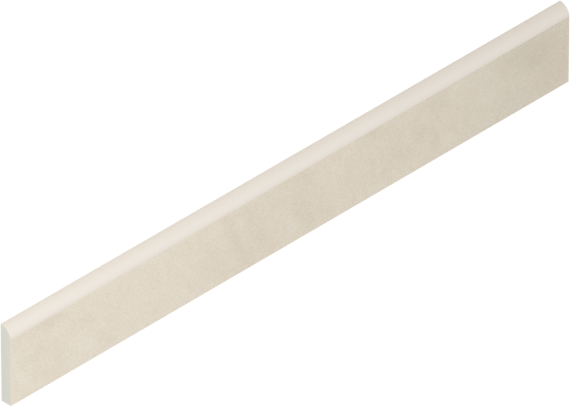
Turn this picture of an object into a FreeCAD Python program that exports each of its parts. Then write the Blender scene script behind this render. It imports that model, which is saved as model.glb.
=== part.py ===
import FreeCAD, Part
import math
import os
import Sketcher

# A skirting tile: one strip of pressed and fired porcelain, with a quarter-round
# edge along its top, a sawn edge along the floor and a keyed back for the adhesive.
#
# The tile lies on its back with its face up. X runs along it, Y runs across it from
# the rounded edge to the sawn edge, and Z runs through it from the back to the face.
# The origin is the middle of the back. Everything is in millimetres and degrees.

NODE = "skirting_tile"

SIZES = {
    # The strip: length and width of the face, and thickness over the ribs of the back
    "tile_length": 600.0,
    "tile_height": 71.0,
    "tile_thickness": 10.2,
    # Flat left at the back below the quarter round, and the dressed arris of the face
    "bullnose_land": 0.2,
    "face_arris": 0.3,
    # Keyed back: square recesses between ribs, inside a plain border
    "key_size": 22.1,
    "key_rib": 2.4,
    "key_depth": 0.6,
    "key_corner": 3.0,
    "key_draft": 30.0,
    "end_border": 6.0,
    "bullnose_border": 6.0,
}

# Two heights closer than this are the same, and volumes may differ by this share
SAME_HEIGHT = 1e-6
SAME_VOLUME = 1e-3

# Rules of the keyed back, worked out from the sizes in the sheet
PITCH = "(sizes.key_size + sizes.key_rib)"
COLUMNS = f"floor((sizes.tile_length - 2 * sizes.end_border + sizes.key_rib) / {PITCH})"
ROWS = f"ceil((sizes.tile_height - sizes.bullnose_border) / {PITCH})"
FIRST_COLUMN = f"-({COLUMNS} - 1) / 2 * {PITCH}"
FIRST_ROW = "-sizes.tile_height / 2 + sizes.bullnose_border + sizes.key_size / 2"


def make_sheet(doc):
    """The driving sizes, one cell each, under the names that the expressions use."""
    sheet = doc.addObject("Spreadsheet::Sheet", "sizes")
    for row, (name, value) in enumerate(SIZES.items(), start=1):
        sheet.set(f"A{row}", name)
        sheet.set(f"B{row}", str(value))
        sheet.setAlias(f"B{row}", name)
    doc.recompute()


def sketch_on(body, plane_role, name):
    """A sketch that lies on one of the body's own origin planes."""
    plane = next(item for item in body.Origin.OriginFeatures if item.Role == plane_role)
    sketch = body.newObject("Sketcher::SketchObject", name)
    sketch.AttachmentSupport = [(plane, "")]
    sketch.MapMode = "FlatFace"
    return sketch


def fix(sketch, kind, *where):
    """A constraint with no size, such as a tangent or a level line."""
    sketch.addConstraint(Sketcher.Constraint(kind, *where))


def measure(sketch, name, size, kind, *where):
    """A named dimension of the sketch that follows a cell of the sheet."""
    sketch.addConstraint(Sketcher.Constraint(kind, *where, SIZES[size]))
    sketch.renameConstraint(sketch.ConstraintCount - 1, name)
    sketch.setExpression(f"Constraints.{name}", f"sizes.{size}")


def draw_section(body):
    """The tile cut across: back, sawn edge, face, quarter round and the land below it."""
    sketch = sketch_on(body, "YZ_Plane", "section")
    side = SIZES["tile_height"] / 2
    top = SIZES["tile_thickness"]
    land = SIZES["bullnose_land"]
    radius = top - land
    outline = [(-side, 0), (side, 0), (side, top), (radius - side, top)]
    points = [FreeCAD.Vector(across, up, 0) for across, up in outline]
    centre = FreeCAD.Vector(radius - side, land, 0)
    circle = Part.Circle(centre, FreeCAD.Vector(0, 0, 1), radius)
    back, edge, face = (
        sketch.addGeometry(Part.LineSegment(start, end))
        for start, end in zip(points, points[1:])
    )
    quarter = sketch.addGeometry(Part.ArcOfCircle(circle, math.pi / 2, math.pi))
    strip = sketch.addGeometry(
        Part.LineSegment(FreeCAD.Vector(-side, land, 0), points[0])
    )

    fix(sketch, "Coincident", back, 2, edge, 1)
    fix(sketch, "Coincident", edge, 2, face, 1)
    fix(sketch, "Coincident", strip, 2, back, 1)
    fix(sketch, "Tangent", face, 2, quarter, 1)
    fix(sketch, "Tangent", quarter, 2, strip, 1)
    fix(sketch, "Vertical", edge)
    fix(sketch, "Vertical", strip)
    fix(sketch, "Horizontal", face)
    fix(sketch, "Symmetric", back, 1, back, 2, -1, 1)
    measure(sketch, "height", "tile_height", "DistanceX", back, 1, back, 2)
    measure(sketch, "thickness", "tile_thickness", "DistanceY", edge, 1, edge, 2)
    measure(sketch, "land", "bullnose_land", "DistanceY", strip, 2, strip, 1)
    return sketch


def make_strip(doc, body):
    """The plain strip, run out evenly to both sides of its middle."""
    strip = body.newObject("PartDesign::Pad", "strip")
    strip.Profile = draw_section(body)
    strip.SideType = "Symmetric"
    strip.setExpression("Length", "sizes.tile_length")
    doc.recompute()
    return strip


def face_rim(shape):
    """The face's edges at both ends and along the floor, by their names in the shape.

    The fourth edge runs smoothly into the quarter round and stays as it is.
    """
    bullnose_side = shape.BoundBox.YMin + SIZES["tile_thickness"]
    face_level = shape.BoundBox.ZMax
    return [
        f"Edge{number}"
        for number, edge in enumerate(shape.Edges, start=1)
        if all(abs(vertex.Z - face_level) < SAME_HEIGHT for vertex in edge.Vertexes)
        and max(vertex.Y for vertex in edge.Vertexes) > bullnose_side
    ]


def dress_face(doc, body, strip):
    """The small arris round the face. At the ends it carries on round the quarter round."""
    arris = body.newObject("PartDesign::Chamfer", "arris")
    arris.Base = (strip, face_rim(strip.Shape))
    arris.setExpression("Size", "sizes.face_arris")
    doc.recompute()
    return arris


def draw_key(body):
    """The mouth of one recess: a square with round corners, in the first row and column."""
    sketch = sketch_on(body, "XY_Plane", "key_mouth")
    sketch.setExpression("AttachmentOffset.Base.x", FIRST_COLUMN)
    sketch.setExpression("AttachmentOffset.Base.y", FIRST_ROW)
    half = SIZES["key_size"] / 2
    corner = SIZES["key_corner"]
    flat = half - corner
    sides = []
    corners = []
    for turn in range(4):
        spin = FreeCAD.Rotation(FreeCAD.Vector(0, 0, 1), 90 * turn)
        start = spin.multVec(FreeCAD.Vector(-flat, -half, 0))
        end = spin.multVec(FreeCAD.Vector(flat, -half, 0))
        centre = spin.multVec(FreeCAD.Vector(flat, -flat, 0))
        circle = Part.Circle(centre, FreeCAD.Vector(0, 0, 1), corner)
        sides.append(sketch.addGeometry(Part.LineSegment(start, end)))
        begin = math.radians(90 * (turn - 1))
        corners.append(
            sketch.addGeometry(Part.ArcOfCircle(circle, begin, begin + math.pi / 2))
        )

    for turn in range(4):
        fix(sketch, "Tangent", sides[turn], 2, corners[turn], 1)
        fix(sketch, "Tangent", corners[turn], 2, sides[(turn + 1) % 4], 1)
        fix(sketch, "Vertical" if turn % 2 else "Horizontal", sides[turn])
    for turn in range(3):
        fix(sketch, "Equal", corners[turn], corners[turn + 1])
    fix(sketch, "Symmetric", sides[0], 1, sides[2], 1, -1, 1)
    measure(sketch, "corner", "key_corner", "Radius", corners[0])
    measure(sketch, "wide", "key_size", "DistanceX", sides[3], 1, sides[1], 1)
    measure(sketch, "tall", "key_size", "DistanceY", sides[0], 1, sides[2], 1)
    return sketch


def key_back(doc, body, arris):
    """The keyed back: one recess, repeated along and across the tile.

    The columns are centred on the length. The rows start at the rounded edge, and
    the saw cuts through the last one.
    """
    mouth = draw_key(body)
    recess = body.newObject("PartDesign::Pocket", "key_recess")
    recess.Profile = mouth
    recess.Reversed = True
    recess.setExpression("Length", "sizes.key_depth")
    recess.setExpression("TaperAngle", "-sizes.key_draft")
    doc.recompute()

    keyed = body.newObject("PartDesign::LinearPattern", "keyed_back")
    keyed.Originals = [recess]
    keyed.Direction = (mouth, ["H_Axis"])
    keyed.setExpression("Length", f"({COLUMNS} - 1) * {PITCH}")
    keyed.setExpression("Occurrences", COLUMNS)
    keyed.Direction2 = (mouth, ["V_Axis"])
    keyed.setExpression("Length2", f"({ROWS} - 1) * {PITCH}")
    keyed.setExpression("Occurrences2", ROWS)
    body.Tip = keyed
    doc.recompute()

    one_recess = arris.Shape.Volume - recess.Shape.Volume
    all_recesses = arris.Shape.Volume - keyed.Shape.Volume
    in_whole_rows = keyed.Occurrences * (keyed.Occurrences2 - 1)
    least_cut = one_recess * in_whole_rows * (1 - SAME_VOLUME)
    if one_recess <= 0 or all_recesses < least_cut:
        raise RuntimeError("the recesses of the back don't cut the tile")


def make_tile(doc):
    """The whole tile, as one body."""
    body = doc.addObject("PartDesign::Body", NODE)
    body.Label = NODE
    strip = make_strip(doc, body)
    arris = dress_face(doc, body, strip)
    key_back(doc, body, arris)
    return body


def check(doc, bodies):
    """Stops the build if a feature failed or a body isn't one sound solid."""
    for item in doc.Objects:
        if {"Invalid", "Error"} & set(item.State):
            raise RuntimeError(f"{item.Label} failed: {item.State}")
    for body in bodies:
        shape = body.Shape
        if shape.isNull() or not shape.isValid() or len(shape.Solids) != 1:
            raise RuntimeError(f"{body.Label} isn't one valid solid")


def main():
    doc = FreeCAD.newDocument(NODE)
    make_sheet(doc)
    bodies = [make_tile(doc)]
    doc.recompute()
    check(doc, bodies)
    os.makedirs("parts", exist_ok=True)
    for body in bodies:
        body.Shape.exportStep(f"parts/{body.Label}.step")
        box = body.Shape.BoundBox
        print(body.Label, [round(side, 3) for side in (box.XLength, box.YLength, box.ZLength)])
        print("volume in cubic centimetres", round(body.Shape.Volume / 1000, 2))


main()
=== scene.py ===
import math

import bpy
from mathutils import Matrix, Vector


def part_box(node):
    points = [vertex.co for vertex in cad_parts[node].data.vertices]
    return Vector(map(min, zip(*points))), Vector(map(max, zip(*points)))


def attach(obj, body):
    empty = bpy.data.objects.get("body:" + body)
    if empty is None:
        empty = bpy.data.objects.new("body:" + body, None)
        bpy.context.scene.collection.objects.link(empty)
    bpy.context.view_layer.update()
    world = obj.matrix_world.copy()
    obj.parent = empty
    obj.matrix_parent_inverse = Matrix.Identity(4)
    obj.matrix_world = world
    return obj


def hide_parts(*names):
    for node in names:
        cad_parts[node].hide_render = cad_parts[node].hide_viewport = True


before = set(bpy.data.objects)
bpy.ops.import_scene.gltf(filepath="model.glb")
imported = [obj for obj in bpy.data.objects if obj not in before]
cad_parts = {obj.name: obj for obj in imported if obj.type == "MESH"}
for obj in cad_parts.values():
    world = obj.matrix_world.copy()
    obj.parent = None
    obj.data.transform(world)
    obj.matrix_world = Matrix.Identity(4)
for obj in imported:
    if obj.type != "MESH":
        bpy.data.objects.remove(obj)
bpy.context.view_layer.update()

# A skirting tile of pressed porcelain. It lies on its back: X runs along it, Y across it from
# the rounded edge to the sawn edge, and Z through it from the back to the face. Metres.

MM = 0.001
NODE = "skirting_tile"

# The strip, from the frame, and the sizes that its box doesn't give
LOW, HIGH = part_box(NODE)
LENGTH, HEIGHT, THICKNESS = HIGH - LOW
BULLNOSE_LAND = 0.2 * MM
BULLNOSE_RADIUS = THICKNESS - BULLNOSE_LAND
FACE_ARRIS = 0.3 * MM

# The keyed back: square recesses between ribs, pressed into the back
KEY_SIZE = 22.1 * MM
KEY_RIB = 2.4 * MM
KEY_DEPTH = 0.6 * MM
KEY_CORNER = 3.0 * MM
KEY_DRAFT = math.radians(30)
KEY_LIP = 0.25 * MM
END_BORDER = 6.0 * MM
BULLNOSE_BORDER = 6.0 * MM
KEY_PITCH = KEY_SIZE + KEY_RIB
KEY_COLUMNS = math.floor((LENGTH - 2 * END_BORDER + KEY_RIB) / KEY_PITCH)
KEY_ROWS = math.ceil((HEIGHT - BULLNOSE_BORDER) / KEY_PITCH)


# Building node trees

def add(tree, kind, inputs=None, **settings):
    """A node with its settings and inputs. An input is a value, or another node's output."""
    made = tree.nodes.new(kind)
    for name, value in settings.items():
        setattr(made, name, value)
    for key, value in (inputs or {}).items():
        if isinstance(value, bpy.types.NodeSocket):
            tree.links.new(value, made.inputs[key])
        else:
            made.inputs[key].default_value = value
    return made


def maths(tree, operation, *values, clamp=False):
    """The result of one sum on numbers or outputs."""
    made = add(tree, "ShaderNodeMath", dict(enumerate(values)), operation=operation)
    made.use_clamp = clamp
    return made.outputs[0]


def vector_maths(tree, operation, *values):
    """The vector that one vector sum gives."""
    made = add(tree, "ShaderNodeVectorMath", dict(enumerate(values)), operation=operation)
    return made.outputs["Vector"]


def scaled(tree, vector, factor):
    """A vector, or a colour, times a number."""
    made = add(tree, "ShaderNodeVectorMath", {0: vector, "Scale": factor}, operation="SCALE")
    return made.outputs["Vector"]


def start_tree(name, kind, inputs, outputs):
    """An empty node group with named sockets, each given as (type, value) or a bare type."""
    tree = bpy.data.node_groups.new(name, kind)
    for label, spec in inputs.items():
        socket_type, value = spec if isinstance(spec, tuple) else (spec, None)
        socket = tree.interface.new_socket(
            label, in_out="INPUT", socket_type="NodeSocket" + socket_type
        )
        if value is not None:
            socket.default_value = value
    for label, socket_type in outputs.items():
        tree.interface.new_socket(
            label, in_out="OUTPUT", socket_type="NodeSocket" + socket_type
        )
    return tree, add(tree, "NodeGroupInput"), add(tree, "NodeGroupOutput")


def use_group(tree, group, inputs):
    """A node that stands for a group, in a geometry or a shader tree."""
    kind = "GeometryNodeGroup" if tree.type == "GEOMETRY" else "ShaderNodeGroup"
    return add(tree, kind, inputs, node_tree=group)


# The shape of the tile

def bent_line():
    """An open line through four corners, with its two middle corners rounded."""
    tree, given, result = start_tree(
        "bent line",
        "GeometryNodeTree",
        {
            "Start": "Vector",
            "First Corner": "Vector",
            "Last Corner": "Vector",
            "End": "Vector",
            "Radius": "Float",
            "Segments": ("Int", 3),
        },
        {"Line": "Geometry"},
    )
    corners = ("Start", "First Corner", "Last Corner", "End")
    chosen = add(tree, "GeometryNodeIndexSwitch", data_type="VECTOR")
    while len(chosen.index_switch_items) < len(corners):
        chosen.index_switch_items.new()
    index = add(tree, "GeometryNodeInputIndex").outputs[0]
    tree.links.new(index, chosen.inputs["Index"])
    for number, corner in enumerate(corners):
        tree.links.new(given.outputs[corner], chosen.inputs[1 + number])
    points = add(tree, "GeometryNodeMeshLine", {"Count": len(corners)})
    line = add(tree, "GeometryNodeMeshToCurve", {0: points.outputs[0]})
    placed = add(
        tree,
        "GeometryNodeSetPosition",
        {"Geometry": line.outputs[0], "Position": chosen.outputs[0]},
    )
    rounded = add(
        tree,
        "GeometryNodeFilletCurve",
        {"Curve": placed.outputs[0], "Radius": given.outputs["Radius"]},
    )
    set_poly_fillet(tree, rounded, given.outputs["Segments"])
    tree.links.new(rounded.outputs[0], result.inputs["Line"])
    return tree


def set_poly_fillet(tree, fillet, segments):
    """Makes a fillet's arcs of straight segments, as many as given."""
    fillet.mode = "POLY"
    if isinstance(segments, bpy.types.NodeSocket):
        tree.links.new(segments, fillet.inputs["Count"])
    else:
        fillet.inputs["Count"].default_value = segments


def loft():
    """A closed solid: an outline carried up a rail, drawn in where the rail says.

    A point of the rail holds its height in X and, in Y, how far the outline is drawn in there.
    Ease is the share of that which each point of the outline follows.
    """
    tree, given, result = start_tree(
        "loft",
        "GeometryNodeTree",
        {"Outline": "Geometry", "Rail": "Geometry", "Ease": ("Float", 1.0)},
        {"Solid": "Geometry"},
    )
    position = add(tree, "GeometryNodeInputPosition").outputs[0]
    index = add(tree, "GeometryNodeInputIndex").outputs[0]

    rail = add(tree, "GeometryNodeCaptureAttribute", {"Geometry": given.outputs["Rail"]})
    rail.capture_items.new("VECTOR", "stage")
    tree.links.new(position, rail.inputs["stage"])
    even = add(tree, "ShaderNodeCombineXYZ", {"X": index}).outputs[0]
    evened = add(
        tree, "GeometryNodeSetPosition", {"Geometry": rail.outputs[0], "Position": even}
    )

    tangent = add(tree, "GeometryNodeInputTangent").outputs[0]
    outward = vector_maths(tree, "CROSS_PRODUCT", tangent, (0, 0, 1))
    eased = scaled(tree, outward, given.outputs["Ease"])
    outline = add(
        tree, "GeometryNodeCaptureAttribute", {"Geometry": given.outputs["Outline"]}
    )
    outline.capture_items.new("VECTOR", "drawn")
    outline.capture_items.new("VECTOR", "outward")
    tree.links.new(position, outline.inputs["drawn"])
    tree.links.new(eased, outline.inputs["outward"])

    swept = add(
        tree,
        "GeometryNodeCurveToMesh",
        {
            "Curve": evened.outputs[0],
            "Profile Curve": outline.outputs[0],
            "Fill Caps": True,
        },
    )
    stage = add(tree, "ShaderNodeSeparateXYZ", {0: rail.outputs["stage"]})
    inward = scaled(tree, outline.outputs["outward"], stage.outputs["Y"])
    flat = vector_maths(tree, "SUBTRACT", outline.outputs["drawn"], inward)
    height = add(tree, "ShaderNodeCombineXYZ", {"Z": stage.outputs["X"]}).outputs[0]
    place = vector_maths(tree, "ADD", flat, height)
    placed = add(
        tree,
        "GeometryNodeSetPosition",
        {"Geometry": swept.outputs[0], "Position": place},
    )
    tree.links.new(placed.outputs[0], result.inputs["Solid"])
    return tree


def section_outline(tree, given):
    """The strip's section as a closed curve: across in X, up in Y, the bullnose at low X.

    Returns the curve and, for each of its points, how much it follows the ends' arris: all of
    it round the face and the bullnose, and none at the back and the sawn edge.
    """
    height, thickness = given.outputs["Height"], given.outputs["Thickness"]
    arris, land = given.outputs["Face Arris"], given.outputs["Bullnose Land"]
    block = add(
        tree,
        "GeometryNodeCurvePrimitiveQuadrilateral",
        {"Width": height, "Height": thickness},
    )
    lift = add(
        tree, "ShaderNodeCombineXYZ", {"Y": maths(tree, "MULTIPLY", thickness, 0.5)}
    )
    raised = add(
        tree,
        "GeometryNodeSetPosition",
        {"Geometry": block.outputs[0], "Offset": lift.outputs[0]},
    )
    position = add(tree, "GeometryNodeInputPosition").outputs[0]
    place = add(tree, "ShaderNodeSeparateXYZ", {0: position})
    across, up = place.outputs["X"], place.outputs["Y"]
    on_face = maths(tree, "GREATER_THAN", up, maths(tree, "MULTIPLY", land, 0.5))
    on_bullnose = maths(tree, "LESS_THAN", across, 0.0)
    radius = add(
        tree,
        "ShaderNodeMix",
        {
            "Factor": on_bullnose,
            "A": arris,
            "B": maths(tree, "SUBTRACT", thickness, land),
        },
    ).outputs["Result"]
    rounded = add(
        tree,
        "GeometryNodeFilletCurve",
        {"Curve": raised.outputs[0], "Radius": maths(tree, "MULTIPLY", radius, on_face)},
    )
    set_poly_fillet(tree, rounded, given.outputs["Bullnose Segments"])
    sawn_side = maths(tree, "MULTIPLY", height, 0.5)
    from_saw = maths(tree, "SUBTRACT", sawn_side, across)
    ease = maths(tree, "DIVIDE", from_saw, arris, clamp=True)
    return rounded.outputs[0], maths(tree, "MULTIPLY", ease, on_face)


def keyed_tile():
    """The whole tile: a lofted strip, with a grid of stamps cut out of its back."""
    tree, given, result = start_tree(
        "keyed tile",
        "GeometryNodeTree",
        {
            "Geometry": "Geometry",
            "Length": "Float",
            "Height": "Float",
            "Thickness": "Float",
            "Bullnose Land": "Float",
            "Bullnose Segments": ("Int", 24),
            "Face Arris": "Float",
            "Key Size": "Float",
            "Key Pitch": "Float",
            "Key Depth": "Float",
            "Key Corner": "Float",
            "Key Draft Run": "Float",
            "Key Lip": "Float",
            "Key Columns": "Int",
            "Key Rows": "Int",
            "Bullnose Border": "Float",
            "Glaze": "Material",
            "Sawn Biscuit": "Material",
            "Pressed Biscuit": "Material",
        },
        {"Geometry": "Geometry"},
    )
    take = given.outputs
    line_group, loft_group = bent_line(), loft()

    # The strip. Its rail turns in at both ends, which gives the face and the bullnose their
    # arris. It turns in by a little more than the arris, so that the rounding fits there.
    arrises_in = 1.2
    outline, ease = section_outline(tree, given)
    half = maths(tree, "MULTIPLY", take["Length"], 0.5)
    other_half = maths(tree, "MULTIPLY", half, -1.0)
    turned_in = maths(tree, "MULTIPLY", take["Face Arris"], arrises_in)
    rail = use_group(
        tree,
        line_group,
        {
            "Start": add(tree, "ShaderNodeCombineXYZ", {0: other_half, 1: turned_in}).outputs[0],
            "First Corner": add(tree, "ShaderNodeCombineXYZ", {0: other_half}).outputs[0],
            "Last Corner": add(tree, "ShaderNodeCombineXYZ", {0: half}).outputs[0],
            "End": add(tree, "ShaderNodeCombineXYZ", {0: half, 1: turned_in}).outputs[0],
            "Radius": take["Face Arris"],
            "Segments": 3,
        },
    )
    upright = use_group(
        tree, loft_group, {"Outline": outline, "Rail": rail.outputs[0], "Ease": ease}
    )
    quarter = math.pi / 2
    strip = add(
        tree,
        "GeometryNodeTransform",
        {"Geometry": upright.outputs[0], "Rotation": (quarter, 0, quarter)},
    )

    # One stamp. Its rail starts below the back, flares over the lip, and ends on the floor.
    mouth = add(
        tree,
        "GeometryNodeCurvePrimitiveQuadrilateral",
        {"Width": take["Key Size"], "Height": take["Key Size"]},
    )
    cornered = add(
        tree,
        "GeometryNodeFilletCurve",
        {"Curve": mouth.outputs[0], "Radius": take["Key Corner"]},
    )
    corner_segments = 7
    set_poly_fillet(tree, cornered, corner_segments)
    lip, depth, run = take["Key Lip"], take["Key Depth"], take["Key Draft Run"]

    # In lips: how far the rail starts below the back and outside the mouth, how far up its
    # first corner is, and how far it runs in over the floor
    below, outside, brink_up, floor_in = 0.5, 1.6, 0.12, 2.0
    flare = add(
        tree,
        "ShaderNodeCombineXYZ",
        {0: maths(tree, "MULTIPLY", lip, -below), 1: maths(tree, "MULTIPLY", lip, -outside)},
    )
    brink = add(tree, "ShaderNodeCombineXYZ", {0: maths(tree, "MULTIPLY", lip, brink_up)})
    foot = add(tree, "ShaderNodeCombineXYZ", {0: depth, 1: run})
    floor_run = maths(tree, "ADD", run, maths(tree, "MULTIPLY", lip, floor_in))
    on_floor = add(tree, "ShaderNodeCombineXYZ", {0: depth, 1: floor_run})
    stamp_rail = use_group(
        tree,
        line_group,
        {
            "Start": flare.outputs[0],
            "First Corner": brink.outputs[0],
            "Last Corner": foot.outputs[0],
            "End": on_floor.outputs[0],
            "Radius": lip,
            "Segments": 2,
        },
    )
    block = use_group(
        tree, loft_group, {"Outline": cornered.outputs[0], "Rail": stamp_rail.outputs[0]}
    )
    stamp = add(
        tree,
        "GeometryNodeSetMaterial",
        {"Geometry": block.outputs[0], "Material": take["Pressed Biscuit"]},
    )

    # The stamps stand on a grid that is centred along the tile and starts at the bullnose border
    last_column = maths(tree, "SUBTRACT", take["Key Columns"], 1)
    last_row = maths(tree, "SUBTRACT", take["Key Rows"], 1)
    grid_height = maths(tree, "MULTIPLY", last_row, take["Key Pitch"])
    grid = add(
        tree,
        "GeometryNodeMeshGrid",
        {
            "Size X": maths(tree, "MULTIPLY", last_column, take["Key Pitch"]),
            "Size Y": grid_height,
            "Vertices X": take["Key Columns"],
            "Vertices Y": take["Key Rows"],
        },
    )
    first_row = maths(
        tree,
        "SUBTRACT",
        maths(tree, "MULTIPLY_ADD", take["Key Size"], 0.5, take["Bullnose Border"]),
        maths(tree, "MULTIPLY", take["Height"], 0.5),
    )
    middle_row = maths(tree, "MULTIPLY_ADD", grid_height, 0.5, first_row)
    spots = add(
        tree,
        "GeometryNodeSetPosition",
        {
            "Geometry": grid.outputs["Mesh"],
            "Offset": add(tree, "ShaderNodeCombineXYZ", {"Y": middle_row}).outputs[0],
        },
    )
    stamps = add(
        tree,
        "GeometryNodeInstanceOnPoints",
        {"Points": spots.outputs[0], "Instance": stamp.outputs[0]},
    )
    glazed = add(
        tree,
        "GeometryNodeSetMaterial",
        {"Geometry": strip.outputs[0], "Material": take["Glaze"]},
    )
    pressed = add(
        tree, "GeometryNodeMeshBoolean", operation="DIFFERENCE", solver="EXACT"
    )
    tree.links.new(glazed.outputs[0], pressed.inputs["Mesh 1"])
    tree.links.new(stamps.outputs[0], pressed.inputs["Mesh 2"])
    whole = add(tree, "GeometryNodeRealizeInstances", {"Geometry": pressed.outputs[0]})

    # Flat faces stay flat, and only what curves between them is shaded smooth
    exactly_square, nearly_square = 0.99999, 0.98
    normal = add(tree, "GeometryNodeInputNormal").outputs[0]
    facing = add(tree, "ShaderNodeSeparateXYZ", {0: normal})
    squarest = maths(
        tree,
        "MAXIMUM",
        maths(tree, "ABSOLUTE", facing.outputs["X"]),
        maths(
            tree,
            "MAXIMUM",
            maths(tree, "ABSOLUTE", facing.outputs["Y"]),
            maths(tree, "ABSOLUTE", facing.outputs["Z"]),
        ),
    )
    curved = maths(tree, "LESS_THAN", squarest, exactly_square)
    shaded = add(
        tree,
        "GeometryNodeSetShadeSmooth",
        {"Geometry": whole.outputs[0], "Shade Smooth": curved},
    )

    # The glaze covers the face and the bullnose. The ends and the sawn edge are bare, and so is
    # the back, but for the land under the bullnose.
    place = add(
        tree, "ShaderNodeSeparateXYZ", {0: add(tree, "GeometryNodeInputPosition").outputs[0]}
    )
    to_end = maths(tree, "ABSOLUTE", facing.outputs["X"])
    at_end = maths(tree, "GREATER_THAN", to_end, nearly_square)
    at_saw = maths(tree, "GREATER_THAN", facing.outputs["Y"], nearly_square)
    just_over = 1.01
    above_floors = maths(tree, "MULTIPLY", depth, just_over)
    level = maths(tree, "LESS_THAN", place.outputs["Z"], above_floors)
    land_edge = maths(tree, "MULTIPLY_ADD", take["Height"], -0.5, lip)
    past_land = maths(tree, "GREATER_THAN", place.outputs["Y"], land_edge)
    backed = add(
        tree,
        "GeometryNodeSetMaterial",
        {
            "Geometry": shaded.outputs[0],
            "Selection": maths(tree, "MULTIPLY", level, past_land),
            "Material": take["Pressed Biscuit"],
        },
    )
    finished = add(
        tree,
        "GeometryNodeSetMaterial",
        {
            "Geometry": backed.outputs[0],
            "Selection": maths(tree, "MAXIMUM", at_end, at_saw),
            "Material": take["Sawn Biscuit"],
        },
    )
    tree.links.new(finished.outputs[0], result.inputs["Geometry"])
    return tree


def grow(name, tree, inputs):
    """The mesh that a tree makes from these inputs, as a plain object at the origin."""
    seed = bpy.data.objects.new(name + "_seed", bpy.data.meshes.new(name + "_seed"))
    bpy.context.scene.collection.objects.link(seed)
    modifier = seed.modifiers.new(tree.name, "NODES")
    modifier.node_group = tree
    sockets = {item.name: item for item in tree.interface.items_tree if item.in_out == "INPUT"}
    for label, value in inputs.items():
        modifier[sockets[label].identifier] = value
    bpy.context.view_layer.update()
    grown = seed.evaluated_get(bpy.context.evaluated_depsgraph_get())
    mesh = bpy.data.meshes.new_from_object(grown)
    mesh.name = name
    seed.modifiers.remove(modifier)
    bpy.data.objects.remove(seed)
    piece = bpy.data.objects.new(name, mesh)
    bpy.context.scene.collection.objects.link(piece)
    return piece


# Finishes

def blend(tree, share, one, other):
    """One colour where the share is 0 and the other where it is 1."""
    mixed = add(tree, "ShaderNodeMix", {0: share, 6: one, 7: other}, data_type="RGBA")
    return mixed.outputs[2]


def blend_number(tree, share, one, other):
    """One number where the share is 0 and the other where it is 1."""
    return add(tree, "ShaderNodeMix", {0: share, 2: one, 3: other}).outputs[0]


def rise(tree, value, start, end, low=0.0, high=1.0):
    """Goes softly from low to high as the value goes from start to end, and stays there."""
    ranged = add(
        tree,
        "ShaderNodeMapRange",
        {0: value, 1: start, 2: end, 3: low, 4: high},
        interpolation_type="SMOOTHSTEP",
    )
    return ranged.outputs[0]


def weigh(tree, start, *layers):
    """The start value with each layer added, by its share."""
    total = start
    for share, layer in layers:
        total = maths(tree, "MULTIPLY_ADD", layer, share, total)
    return total


def toned(tree, colour, tone):
    """A colour made lighter where the tone is above zero, and darker where it is below."""
    return scaled(tree, colour, maths(tree, "ADD", tone, 1.0))


def clouds():
    """Soft uneven clouds round zero.

    Fineness adds ever smaller ones, and Sharpness keeps the small ones strong.
    """
    tree, given, result = start_tree(
        "clouds",
        "ShaderNodeTree",
        {
            "Place": "Vector",
            "Size": ("Float", 30 * MM),
            "Seed": "Float",
            "Fineness": ("Float", 3.0),
            "Sharpness": ("Float", 0.6),
        },
        {"Clouds": "Float"},
    )
    noise = add(
        tree,
        "ShaderNodeTexNoise",
        {
            "Vector": given.outputs["Place"],
            "W": given.outputs["Seed"],
            "Scale": maths(tree, "DIVIDE", 1.0, given.outputs["Size"]),
            "Detail": given.outputs["Fineness"],
            "Roughness": given.outputs["Sharpness"],
        },
        noise_dimensions="4D",
    )
    centred = maths(tree, "MULTIPLY_ADD", noise.outputs["Fac"], 2.0, -1.0)
    tree.links.new(centred, result.inputs["Clouds"])
    return tree


def cloudy(tree, clouds_group, place, size, seed, fineness, sharpness):
    """The clouds at a place, as one number round zero."""
    inputs = {
        "Place": place,
        "Size": size,
        "Seed": seed,
        "Fineness": fineness,
        "Sharpness": sharpness,
    }
    return use_group(tree, clouds_group, inputs).outputs[0]


def stain():
    """One soft oval stain: 1 in its middle and 0 from its rim on."""
    tree, given, result = start_tree(
        "stain",
        "ShaderNodeTree",
        {
            "Place": "Vector",
            "Middle": "Vector",
            "Half Length": "Float",
            "Half Width": "Float",
            "Turn": "Float",
        },
        {"Mask": "Float"},
    )
    size = add(
        tree,
        "ShaderNodeCombineXYZ",
        {0: given.outputs["Half Length"], 1: given.outputs["Half Width"], 2: 1.0},
    )
    turned = add(tree, "ShaderNodeCombineXYZ", {2: given.outputs["Turn"]})
    local = add(
        tree,
        "ShaderNodeMapping",
        {
            "Vector": given.outputs["Place"],
            "Location": given.outputs["Middle"],
            "Rotation": turned.outputs[0],
            "Scale": size.outputs[0],
        },
        vector_type="TEXTURE",
    )
    level = vector_maths(tree, "MULTIPLY", local.outputs[0], (1, 1, 0))
    out = add(tree, "ShaderNodeVectorMath", {0: level}, operation="LENGTH")
    mask = rise(tree, out.outputs["Value"], 1.0, 0.0)
    tree.links.new(mask, result.inputs["Mask"])
    return tree


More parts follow.
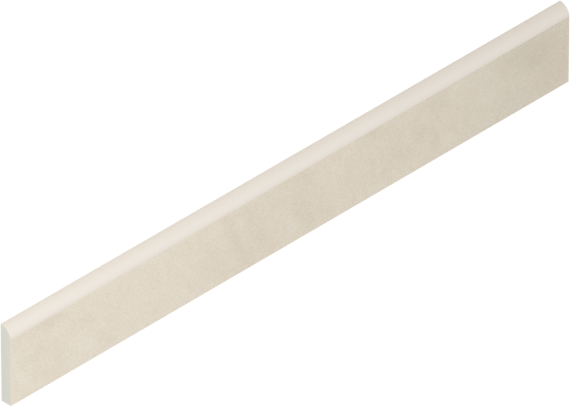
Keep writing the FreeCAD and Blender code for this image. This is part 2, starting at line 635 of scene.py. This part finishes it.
# The print's own stains, as they lie on the face, in millimetres from its left end and from
# the top of the tile: middle, half length, half width, turn in degrees (downwards to the
# right), then how much grey and how much tan each one adds
STAINS = [
    (7, 18, 14, 8, 60, 0.006, 0.055),
    (24, 22, 16, 11, 50, -0.004, 0.035),
    (24, 12, 40, 5, 0, 0.022, 0.004),
    (44, 15, 26, 10, 8, 0.044, 0.034),
    (18, 38, 14, 8, 10, 0.03, -0.025),
    (12, 52, 22, 9, 62, -0.024, -0.045),
    (3, 66, 14, 10, 40, -0.03, 0.02),
    (26, 44, 18, 6, 80, -0.004, 0.06),
    (33, 36, 14, 9, 60, 0.034, 0.015),
    (42, 62, 26, 10, 50, -0.01, 0.06),
    (50, 50, 20, 9, 70, 0.03, 0.004),
    (50, 26, 14, 9, 20, -0.014, -0.02),
    (82, 33, 14, 8, 20, 0.034, 0.015),
    (74, 52, 24, 17, 50, -0.01, -0.04),
    (92, 46, 12, 9, 40, -0.014, -0.01),
    (102, 59, 22, 7, 52, 0.014, 0.05),
    (120, 26, 14, 9, 0, 0.016, 0.0),
    (146, 36, 22, 14, 20, -0.008, 0.022),
    (154, 60, 16, 10, 20, 0.018, 0.0),
    (190, 24, 18, 14, 40, 0.01, 0.01),
    (188, 55, 14, 8, 40, 0.008, 0.035),
    (212, 46, 24, 24, 25, 0.014, 0.03),
    (227, 66, 16, 9, 0, -0.006, 0.05),
    (230, 20, 24, 10, 66, 0.01, 0.045),
    (238, 40, 22, 8, 66, 0.03, 0.03),
    (247, 60, 22, 11, 62, 0.018, 0.03),
    (252, 20, 24, 11, 58, 0.008, 0.05),
    (261, 40, 24, 13, 58, 0.012, 0.018),
    (275, 62, 28, 12, 54, 0.006, 0.036),
    (252, 46, 50, 26, 57, 0.0, 0.036),
    (244, 27, 14, 6, 60, -0.02, -0.035),
    (296, 12, 16, 7, 0, 0.0, 0.05),
    (284, 26, 20, 12, 30, 0.02, -0.01),
    (288, 46, 22, 12, 50, 0.012, -0.014),
    (312, 17, 24, 15, 50, 0.018, 0.048),
    (322, 38, 30, 13, 60, 0.0, 0.046),
    (336, 62, 24, 12, 55, -0.002, 0.046),
    (308, 44, 34, 15, 62, 0.038, 0.032),
    (320, 61, 16, 11, 40, 0.03, 0.0),
    (297, 52, 14, 7, 70, -0.014, -0.03),
    (344, 30, 20, 13, 20, -0.026, 0.0),
    (364, 44, 54, 34, 10, -0.006, 0.04),
    (385, 46, 16, 7, 80, 0.024, 0.02),
    (386, 14, 34, 12, 10, 0.046, 0.034),
    (402, 54, 18, 15, 60, 0.016, 0.0),
    (418, 36, 42, 36, 0, 0.028, 0.012),
    (414, 46, 11, 8, 60, 0.016, 0.02),
    (424, 36, 13, 9, 60, -0.016, -0.015),
    (437, 39, 16, 10, 60, 0.03, 0.02),
    (453, 18, 30, 13, 16, 0.056, 0.0),
    (450, 42, 90, 60, 0, 0.01, 0.01),
    (453, 50, 24, 9, 84, 0.02, 0.025),
    (468, 60, 18, 10, 30, -0.018, -0.016),
    (476, 17, 8, 13, 60, -0.022, 0.0),
    (504, 19, 26, 13, 10, 0.008, -0.016),
    (508, 40, 24, 12, 20, -0.012, -0.02),
    (536, 56, 32, 16, 20, 0.026, -0.016),
    (550, 18, 52, 26, 8, 0.05, 0.008),
    (562, 34, 30, 13, 16, 0.034, 0.0),
    (584, 42, 50, 40, 80, 0.031, 0.042),
]


def cement_print(clouds_group):
    """The printed cement pattern: a clear ground under clouds and stains of grey and of tan.

    A haze of olive lies over its right end.
    """
    tree, given, result = start_tree(
        "cement print",
        "ShaderNodeTree",
        {"Place": "Vector", "Ground": "Color"},
        {"Colour": "Color", "Clouds": "Float"},
    )
    place = given.outputs["Place"]
    drift_size, drift_reach = 10 * MM, 11 * MM
    drift = add(
        tree,
        "ShaderNodeTexNoise",
        {"Vector": place, "Scale": 1 / drift_size, "Detail": 4.0, "Roughness": 0.75},
    )
    aside = vector_maths(tree, "SUBTRACT", drift.outputs["Color"], (0.5, 0.5, 0.5))
    wandering = add(
        tree,
        "ShaderNodeVectorMath",
        {0: aside, 1: (drift_reach, drift_reach, 0.0), 2: place},
        operation="MULTIPLY_ADD",
    ).outputs[0]

    # The ground grows darker in two long steps: it greys first, and then the olive comes in
    along = add(tree, "ShaderNodeSeparateXYZ", {0: wandering}).outputs["X"]
    left_end = LENGTH / 2
    past_left = maths(tree, "SUBTRACT", left_end, along)
    grey = rise(tree, past_left, 150 * MM, 280 * MM, 0.0, 0.044)
    tan = maths(tree, "MULTIPLY", grey, 0.2)
    olive = rise(tree, past_left, 400 * MM, 570 * MM, 0.0, 0.078)

    stain_group = stain()
    for from_left, from_top, length, width, turn, greyness, tanness in STAINS:
        middle = (left_end - from_left * MM, from_top * MM - HEIGHT / 2, 0)
        mask = use_group(
            tree,
            stain_group,
            {
                "Place": wandering,
                "Middle": middle,
                "Half Length": length * MM,
                "Half Width": width * MM,
                "Turn": math.radians(180 - turn),
            },
        ).outputs[0]
        grey = maths(tree, "MULTIPLY_ADD", mask, greyness, grey)
        tan = maths(tree, "MULTIPLY_ADD", mask, tanness, tan)

    # The mottle, the tint and the veins run on a slant. The grain and the flecks are the dots.
    slanted = add(
        tree,
        "ShaderNodeMapping",
        {"Vector": place, "Rotation": (0, 0, math.radians(132)), "Scale": (1.5, 1, 1)},
        vector_type="TEXTURE",
    ).outputs[0]
    mottle = cloudy(tree, clouds_group, slanted, size=10 * MM, seed=3, fineness=3.5, sharpness=0.95)
    tint = cloudy(tree, clouds_group, slanted, size=40 * MM, seed=8, fineness=2, sharpness=0.6)
    grain = cloudy(tree, clouds_group, place, size=0.65 * MM, seed=4.5, fineness=1, sharpness=1.0)
    fleck = cloudy(tree, clouds_group, place, size=0.65 * MM, seed=9.5, fineness=1, sharpness=1.0)
    course = cloudy(tree, clouds_group, slanted, size=22 * MM, seed=6, fineness=4, sharpness=0.55)
    vein_width = 0.05
    vein = rise(tree, maths(tree, "ABSOLUTE", course), vein_width, 0.0)
    grey = weigh(tree, grey, (0.055, mottle), (0.235, grain), (0.006, vein))
    tan = weigh(
        tree, tan, (0.033, mottle), (0.03, tint), (0.085, grain), (0.25, fleck), (0.006, vein)
    )

    # What each ink takes off the red, the green and the blue of the ground
    grey_ink = scaled(tree, (1.0, 1.02, 1.08), grey)
    tan_ink = scaled(tree, (0.2, 0.54, 1.0), tan)
    olive_ink = scaled(tree, (1.02, 0.98, 1.06), olive)
    ink = vector_maths(tree, "ADD", vector_maths(tree, "ADD", grey_ink, tan_ink), olive_ink)
    left_over = vector_maths(tree, "SUBTRACT", (1, 1, 1), ink)
    colour = vector_maths(tree, "MULTIPLY", given.outputs["Ground"], left_over)
    tree.links.new(colour, result.inputs["Colour"])
    tree.links.new(mottle, result.inputs["Clouds"])
    return tree


def under_glaze():
    """Where a point lies in the section: its depth under the glaze, and its lean.

    The lean is 0 on the face and a right angle at the foot of the quarter round.
    """
    tree, given, result = start_tree(
        "under the glaze",
        "ShaderNodeTree",
        {"Place": "Vector"},
        {"Depth": "Float", "Lean": "Float"},
    )
    place = add(tree, "ShaderNodeSeparateXYZ", {0: given.outputs["Place"]})
    past_face = maths(tree, "SUBTRACT", BULLNOSE_RADIUS - HEIGHT / 2, place.outputs["Y"])
    out = maths(tree, "MAXIMUM", past_face, 0.0)
    up = maths(tree, "SUBTRACT", place.outputs["Z"], BULLNOSE_LAND)
    arm = add(tree, "ShaderNodeCombineXYZ", {0: out, 1: up}).outputs[0]
    reach = add(tree, "ShaderNodeVectorMath", {0: arm}, operation="LENGTH").outputs["Value"]
    tree.links.new(maths(tree, "SUBTRACT", BULLNOSE_RADIUS, reach), result.inputs["Depth"])
    tree.links.new(maths(tree, "ARCTAN2", out, up), result.inputs["Lean"])
    return tree


def edge_glaze_with_sheen(clouds_group, section_group):
    """The plain glaze of the quarter round.

    Its colour follows the lean: darker and yellower at the foot, paler and whiter on the middle of
    the round as a painted sheen, and yellower again at the shoulder.
    """
    tree, given, result = start_tree(
        "edge glaze",
        "ShaderNodeTree",
        {"Place": "Vector", "Foot": "Color", "Middle": "Color", "Shoulder": "Color"},
        {"Colour": "Color", "Ripple": "Float"},
    )
    place = given.outputs["Place"]
    lean = use_group(tree, section_group, {"Place": place}).outputs["Lean"]
    # The paler, whiter Middle colour between these leans is a painted sheen; Foot and Shoulder are
    # darker and yellower
    off_foot = rise(tree, lean, math.radians(69), math.radians(17))
    lower = blend(tree, off_foot, given.outputs["Foot"], given.outputs["Middle"])
    on_shoulder = rise(tree, lean, math.radians(24), math.radians(4))
    colour = blend(tree, on_shoulder, lower, given.outputs["Shoulder"])
    ripple = cloudy(tree, clouds_group, place, size=6 * MM, seed=5, fineness=2, sharpness=0.4)
    tree.links.new(colour, result.inputs["Colour"])
    tree.links.new(ripple, result.inputs["Ripple"])
    return tree


def new_material(name):
    """An empty material: its tree, its shader and the piece's own coordinates."""
    material = bpy.data.materials.new(name)
    material.use_nodes = True
    tree = material.node_tree
    place = add(tree, "ShaderNodeTexCoord").outputs["Object"]
    return material, tree, tree.nodes["Principled BSDF"], place


def printed_glaze(clouds_group, section_group):
    """The matt printed glaze of the face, which gives way to the plain one of the round."""
    material, tree, shader, place = new_material("printed_glaze")
    printed = use_group(
        tree,
        cement_print(clouds_group),
        {"Place": place, "Ground": (0.762, 0.69, 0.577, 1)},
    )
    plain = use_group(
        tree,
        edge_glaze_with_sheen(clouds_group, section_group),
        {
            "Place": place,
            # The round's colours by lean: the paler Middle is a painted sheen
            "Foot": (0.731, 0.670, 0.593, 1),
            "Middle": (0.773, 0.720, 0.658, 1),
            "Shoulder": (0.773, 0.708, 0.625, 1),
        },
    )
    shaky = cloudy(tree, clouds_group, place, size=4 * MM, seed=1, fineness=2, sharpness=0.5)

    # The print laps a little onto the round, and its edge there is a little shaky
    lap, softness, shake = 0.38 * MM, 0.1 * MM, 0.1 * MM
    starts = BULLNOSE_RADIUS - HEIGHT / 2 - lap
    across = add(tree, "ShaderNodeSeparateXYZ", {0: place}).outputs["Y"]
    limit = maths(tree, "MULTIPLY_ADD", shaky, shake, across)
    on_face = rise(tree, limit, starts - softness, starts + softness)
    colour = blend(tree, on_face, plain.outputs["Colour"], printed.outputs["Colour"])
    tree.links.new(colour, shader.inputs["Base Color"])
    printed_roughness = maths(tree, "MULTIPLY_ADD", printed.outputs["Clouds"], 0.3, 0.62)
    plain_roughness = maths(tree, "MULTIPLY_ADD", plain.outputs["Ripple"], 0.05, 0.48)
    roughness = blend_number(tree, on_face, plain_roughness, printed_roughness)
    tree.links.new(roughness, shader.inputs["Roughness"])
    tooth = cloudy(tree, clouds_group, place, size=1.2 * MM, seed=2, fineness=2, sharpness=0.7)
    toothed = maths(tree, "MULTIPLY_ADD", tooth, 0.2, printed.outputs["Clouds"])
    ripple = maths(tree, "MULTIPLY", plain.outputs["Ripple"], 0.3)
    height = blend_number(tree, on_face, ripple, toothed)
    bump = add(tree, "ShaderNodeBump", {"Height": height, "Strength": 1.0, "Distance": 0.06 * MM})
    tree.links.new(bump.outputs[0], shader.inputs["Normal"])
    return material


def grains():
    """The grains of the clay, each with a tone of its own round zero, and a pore here and there."""
    tree, given, result = start_tree(
        "grains",
        "ShaderNodeTree",
        {"Place": "Vector", "Size": ("Float", 0.6 * MM), "Pores": ("Float", 0.1)},
        {"Tone": "Float", "Pore": "Float"},
    )
    cells = add(
        tree,
        "ShaderNodeTexVoronoi",
        {
            "Vector": given.outputs["Place"],
            "Scale": maths(tree, "DIVIDE", 1.0, given.outputs["Size"]),
        },
    )
    lot = add(tree, "ShaderNodeSeparateColor", {0: cells.outputs["Color"]})
    tone = maths(tree, "MULTIPLY_ADD", lot.outputs[0], 2.0, -1.0)
    chosen = maths(tree, "LESS_THAN", lot.outputs[1], given.outputs["Pores"])
    pore = maths(tree, "MULTIPLY", chosen, rise(tree, cells.outputs["Distance"], 0.4, 0.25))
    tree.links.new(tone, result.inputs["Tone"])
    tree.links.new(pore, result.inputs["Pore"])
    return tree


def sawn_biscuit(clouds_group, grains_group, section_group):
    """The bare clay where the wheel has cut it, with the wheel's fine marks along each edge.

    The cut shows the thin pale layer that the glaze lies on.
    """
    material, tree, shader, place = new_material("sawn_biscuit")
    stretched = add(
        tree, "ShaderNodeMapping", {"Vector": place, "Scale": (40, 40, 1)}, vector_type="TEXTURE"
    ).outputs[0]
    marks = cloudy(tree, clouds_group, stretched, size=0.5 * MM, seed=11, fineness=2, sharpness=0.6)
    patches = cloudy(tree, clouds_group, place, size=8 * MM, seed=12, fineness=2, sharpness=0.5)
    clay = use_group(tree, grains_group, {"Place": place, "Size": 0.5 * MM, "Pores": 0.05})
    grain, pore = clay.outputs["Tone"], clay.outputs["Pore"]
    # The saw marks, patches and grains are the clay's own tone; the pores are painted darker, as
    # painted shade in them
    tone = weigh(tree, 0.0, (0.01, marks), (0.004, patches), (0.015, grain), (-0.08, pore))
    sawn_clay, pale_layer = (0.748, 0.742, 0.666), (0.80, 0.775, 0.71, 1)
    section = use_group(tree, section_group, {"Place": place})
    depth = maths(tree, "MULTIPLY_ADD", marks, 0.05 * MM, section.outputs["Depth"])
    layer_fades, layer_ends = 0.6 * MM, 0.72 * MM
    layer = rise(tree, depth, layer_ends, layer_fades)
    colour = blend(tree, layer, toned(tree, sawn_clay, tone), pale_layer)
    tree.links.new(colour, shader.inputs["Base Color"])
    roughness = weigh(tree, 0.86, (0.08, marks), (0.04, patches))
    tree.links.new(roughness, shader.inputs["Roughness"])
    height = weigh(tree, 0.0, (0.5, marks), (0.2, grain), (-1.0, pore))
    bump = add(tree, "ShaderNodeBump", {"Height": height, "Distance": 0.02 * MM})
    tree.links.new(bump.outputs[0], shader.inputs["Normal"])
    return material


def pressed_biscuit(clouds_group, grains_group):
    """The back as it left the press and the kiln, with the white wash of the kiln on its ribs."""
    material, tree, shader, place = new_material("pressed_biscuit")
    patches = cloudy(tree, clouds_group, place, size=12 * MM, seed=21, fineness=4, sharpness=0.65)
    clay = use_group(tree, grains_group, {"Place": place, "Size": 0.7 * MM, "Pores": 0.06})
    grain, pore = clay.outputs["Tone"], clay.outputs["Pore"]
    # The patches and grains are the clay's own tone; the pores are painted darker, as painted shade
    # in them
    tone = weigh(tree, 0.0, (0.05, patches), (0.025, grain), (-0.15, pore))
    fired_clay, kiln_wash = (0.70, 0.655, 0.56), (0.83, 0.815, 0.775)
    bare = toned(tree, fired_clay, tone)
    washed = toned(tree, kiln_wash, maths(tree, "MULTIPLY", patches, 0.04))
    up = add(tree, "ShaderNodeSeparateXYZ", {0: place}).outputs["Z"]
    on_ribs = rise(tree, up, 0.14 * MM, 0.03 * MM)
    rubbed = maths(tree, "MULTIPLY_ADD", grain, 0.08, patches)
    left_on = rise(tree, rubbed, -0.25, 0.2, low=0.25, high=0.95)
    cover = maths(tree, "MULTIPLY", on_ribs, left_on)
    tree.links.new(blend(tree, cover, bare, washed), shader.inputs["Base Color"])
    bare_roughness = maths(tree, "MULTIPLY_ADD", patches, 0.08, 0.84)
    roughness = blend_number(tree, cover, bare_roughness, 0.95)
    tree.links.new(roughness, shader.inputs["Roughness"])
    height = weigh(tree, 0.0, (0.3, patches), (0.3, grain), (-1.0, pore), (0.3, cover))
    bump = add(tree, "ShaderNodeBump", {"Height": height, "Distance": 0.05 * MM})
    tree.links.new(bump.outputs[0], shader.inputs["Normal"])
    return material


def plain_material(name, colour, roughness):
    """A material of one colour, for the studio only."""
    material = bpy.data.materials.new(name)
    material.use_nodes = True
    shader = material.node_tree.nodes["Principled BSDF"]
    shader.inputs["Base Color"].default_value = (*colour, 1)
    shader.inputs["Roughness"].default_value = roughness
    return material


# The studio

# What the camera sees of the paper: just past white, so that no grey is left in it
CLEAN_WHITE = 1.02


def look_from(turn, tilt):
    """The way from the tile to the eye, and the picture's right and up, as unit vectors.

    As the tile stands on a wall, its bullnose is up. The turn goes round from straight in
    front of the face towards the tile's left end, and the tilt goes up towards the bullnose.
    """
    level = math.cos(tilt)
    out = Vector((level * math.sin(turn), -math.sin(tilt), level * math.cos(turn)))
    right = out.cross(Vector((0, 1, 0))).normalized()
    return out, right, out.cross(right)


def place_camera():
    """The camera, far off and with a long lens, so that the tile's long edges stay parallel."""
    turn, tilt = math.radians(45.04), math.radians(35.40)
    lens = 1100
    sensor = 36
    picture_width = 0.43277
    aim_right, aim_up = 0.00072, -0.00362
    out, right, up = look_from(turn, tilt)
    data = bpy.data.cameras.new("camera")
    data.lens = lens
    data.sensor_width = sensor
    data.clip_start = 0.1
    data.clip_end = 60
    camera = bpy.data.objects.new("camera", data)
    bpy.context.scene.collection.objects.link(camera)
    aim = right * aim_right + up * aim_up
    camera.location = aim + out * picture_width * lens / sensor
    camera.matrix_world = Matrix.Translation(camera.location) @ Matrix(
        (right, up, out)
    ).transposed().to_4x4()
    bpy.context.scene.camera = camera


def only_for_camera(tree, seen, otherwise):
    """A shader that the camera sees as one thing and the light as another."""
    ray = add(tree, "ShaderNodeLightPath")
    return add(
        tree,
        "ShaderNodeMixShader",
        {0: ray.outputs["Is Camera Ray"], 1: otherwise, 2: seen},
    ).outputs[0]


def lay_floor():
    """The studio floor. It is lit and throws light back, and shows as clean white paper."""
    reach = 4.0
    clearance = 0.1 * MM
    mesh = bpy.data.meshes.new("floor")
    corners = [(-reach, -reach), (reach, -reach), (reach, reach), (-reach, reach)]
    mesh.from_pydata([(x, y, -clearance) for x, y in corners], [], [(0, 1, 2, 3)])
    paper = plain_material("white_paper", (0.78, 0.78, 0.78), 0.9)
    tree = paper.node_tree
    white = add(tree, "ShaderNodeEmission", {"Color": (1, 1, 1, 1), "Strength": CLEAN_WHITE})
    shown = only_for_camera(tree, white.outputs[0], tree.nodes["Principled BSDF"].outputs[0])
    tree.links.new(shown, tree.nodes["Material Output"].inputs["Surface"])
    mesh.materials.append(paper)
    floor = bpy.data.objects.new("floor", mesh)
    bpy.context.scene.collection.objects.link(floor)


def hang_light(name, place, size, power):
    """A square light that hangs at a place and points at the tile."""
    data = bpy.data.lights.new(name, "AREA")
    data.shape = "SQUARE"
    data.size = size
    data.energy = power
    light = bpy.data.objects.new(name, data)
    light.location = place
    light.rotation_euler = (-Vector(place)).to_track_quat("-Z", "Y").to_euler()
    bpy.context.scene.collection.objects.link(light)


def light_studio():
    """Even light from all round, and one softbox beyond the bullnose, towards the left end."""
    all_round = 0.803
    world = bpy.data.worlds.new("studio")
    world.use_nodes = True
    tree = world.node_tree
    dim = tree.nodes["Background"]
    dim.inputs["Color"].default_value = (1, 1, 1, 1)
    dim.inputs["Strength"].default_value = all_round
    white = add(tree, "ShaderNodeBackground", {"Color": (1, 1, 1, 1), "Strength": CLEAN_WHITE})
    shown = only_for_camera(tree, white.outputs[0], dim.outputs[0])
    tree.links.new(shown, tree.nodes["World Output"].inputs["Surface"])
    bpy.context.scene.world = world
    hang_light("softbox", place=(0.72, -1.15, 0.85), size=1.0, power=8.85)
    bpy.context.scene.view_settings.view_transform = "Standard"


clouds_group = clouds()
section_group = under_glaze()
glaze = printed_glaze(clouds_group, section_group)
grains_group = grains()
sawn = sawn_biscuit(clouds_group, grains_group, section_group)
pressed = pressed_biscuit(clouds_group, grains_group)
tile = grow(
    "fired_tile",
    keyed_tile(),
    {
        "Length": LENGTH,
        "Height": HEIGHT,
        "Thickness": THICKNESS,
        "Bullnose Land": BULLNOSE_LAND,
        "Face Arris": FACE_ARRIS,
        "Key Size": KEY_SIZE,
        "Key Pitch": KEY_PITCH,
        "Key Depth": KEY_DEPTH,
        "Key Corner": KEY_CORNER,
        "Key Draft Run": KEY_DEPTH * math.tan(KEY_DRAFT),
        "Key Lip": KEY_LIP,
        "Key Columns": KEY_COLUMNS,
        "Key Rows": KEY_ROWS,
        "Bullnose Border": BULLNOSE_BORDER,
        "Glaze": glaze,
        "Sawn Biscuit": sawn,
        "Pressed Biscuit": pressed,
    },
)
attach(tile, "root")
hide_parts(NODE)

place_camera()
lay_floor()
light_studio()
